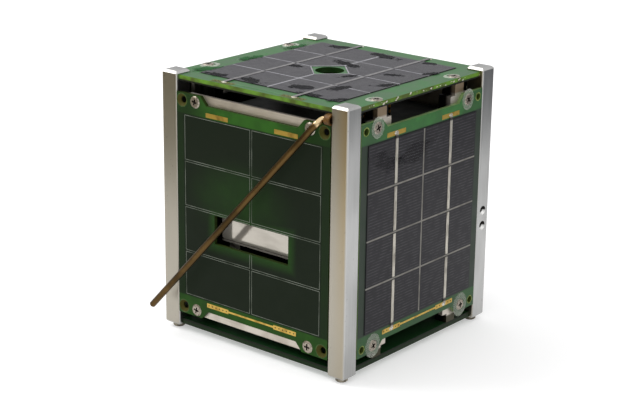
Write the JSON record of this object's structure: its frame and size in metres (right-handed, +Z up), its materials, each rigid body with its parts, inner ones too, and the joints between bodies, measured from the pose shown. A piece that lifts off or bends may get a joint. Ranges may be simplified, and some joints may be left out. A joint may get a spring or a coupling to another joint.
{
  "type": "one-unit cube satellite",
  "caption": "Cube satellite with square corner rails, circuit-board sides, solar cells, an access port and a bent rod antenna that folds out from its front face.",
  "frame": {"origin": "on the floor that the four feet stand on, below the middle of the square that the rails make", "axes": "+Z up along the rails, -Y out of the board with the access port, +X out of the cell board to its right"},
  "size_m": [0.1014, 0.1099, 0.1153],
  "materials": {
    "rail_aluminium": "satin, clear anodised",
    "foot_steel": "turned, darkened",
    "frame_aluminium": "mill finish",
    "solder_mask": "green solder mask over glass fibre",
    "solar_cell": "dark coated cell",
    "tinned_ribbon": "tinned copper",
    "battery_case": "satin",
    "header_plastic": "moulded",
    "pin_gold": "gold plated",
    "hinge_resin": "brown laminate",
    "antenna_brass": "drawn, tarnished"
  },
  "bodies": {
    "root": {"battery_box": "battery_case", "blocks_left_bottom": "frame_aluminium", "blocks_left_top": "frame_aluminium", "blocks_right_bottom": "frame_aluminium", "blocks_right_top": "frame_aluminium", "board_bottom": "solder_mask", "board_front": "solder_mask", "board_left": "solder_mask", "board_rear": "solder_mask", "board_right": "solder_mask", "board_top": "solder_mask", "cells_bottom": "solar_cell", "cells_left": "solar_cell", "cells_rear": "solar_cell", "cells_right": "solar_cell", "cells_top": "solar_cell", "foot_front_left": "foot_steel", "foot_front_right": "foot_steel", "foot_rear_left": "foot_steel", "foot_rear_right": "foot_steel", "header_block": "header_plastic", "header_pins": "pin_gold", "hinge_block": "hinge_resin", "rail_front_left": "rail_aluminium", "rail_front_right": "rail_aluminium", "rail_rear_left": "rail_aluminium", "rail_rear_right": "rail_aluminium", "rib_left_bottom": "frame_aluminium", "rib_left_top": "frame_aluminium", "rib_right_bottom": "frame_aluminium", "rib_right_top": "frame_aluminium", "ribbons_bottom": "tinned_ribbon", "ribbons_left": "tinned_ribbon", "ribbons_rear": "tinned_ribbon", "ribbons_right": "tinned_ribbon", "ribbons_top": "tinned_ribbon", "stack_board_lower": "solder_mask", "stack_board_middle": "solder_mask", "stack_board_upper": "solder_mask", "standoffs": "frame_aluminium", "wall_front": "frame_aluminium", "wall_rear": "frame_aluminium"},
    "antenna": {"antenna_rod": "antenna_brass"}
  },
  "joints": [
    {"name": "antenna_fold", "type": "hinge", "parent": "root", "child": "antenna", "pos_m": [0.0402, -0.0495, 0.1093], "axis": [-1, 0, 0], "range_deg": [0, 90]}
  ]
}
